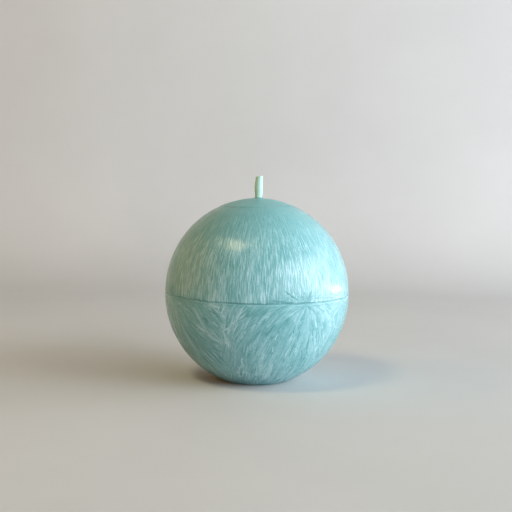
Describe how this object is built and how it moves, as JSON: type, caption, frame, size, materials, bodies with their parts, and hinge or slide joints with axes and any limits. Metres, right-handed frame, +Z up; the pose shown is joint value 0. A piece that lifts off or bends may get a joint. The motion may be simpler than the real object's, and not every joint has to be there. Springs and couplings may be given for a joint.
{
  "type": "ball candle",
  "caption": "Round ball candle of pale turquoise crystallised wax, joined round its middle, with a short white cotton wick on top and a small flat to stand on.",
  "frame": {"origin": "centre of the flat that the candle stands on", "axes": "+Z up along the wick; -Y towards the side seen from the front; +X to the right of that side"},
  "size_m": [0.08, 0.08, 0.0885],
  "materials": {
    "wax": "satin crystallised candle wax",
    "wick_cotton": "braided cotton primed with wax",
    "tin_plate": "bright rolled tin plate"
  },
  "bodies": {
    "root": {"lower_wax_half": "wax", "upper_wax_half": "wax", "top_up_wax": "wax", "wick": "wick_cotton", "wick_sustainer": "tin_plate"}
  },
  "joints": []
}
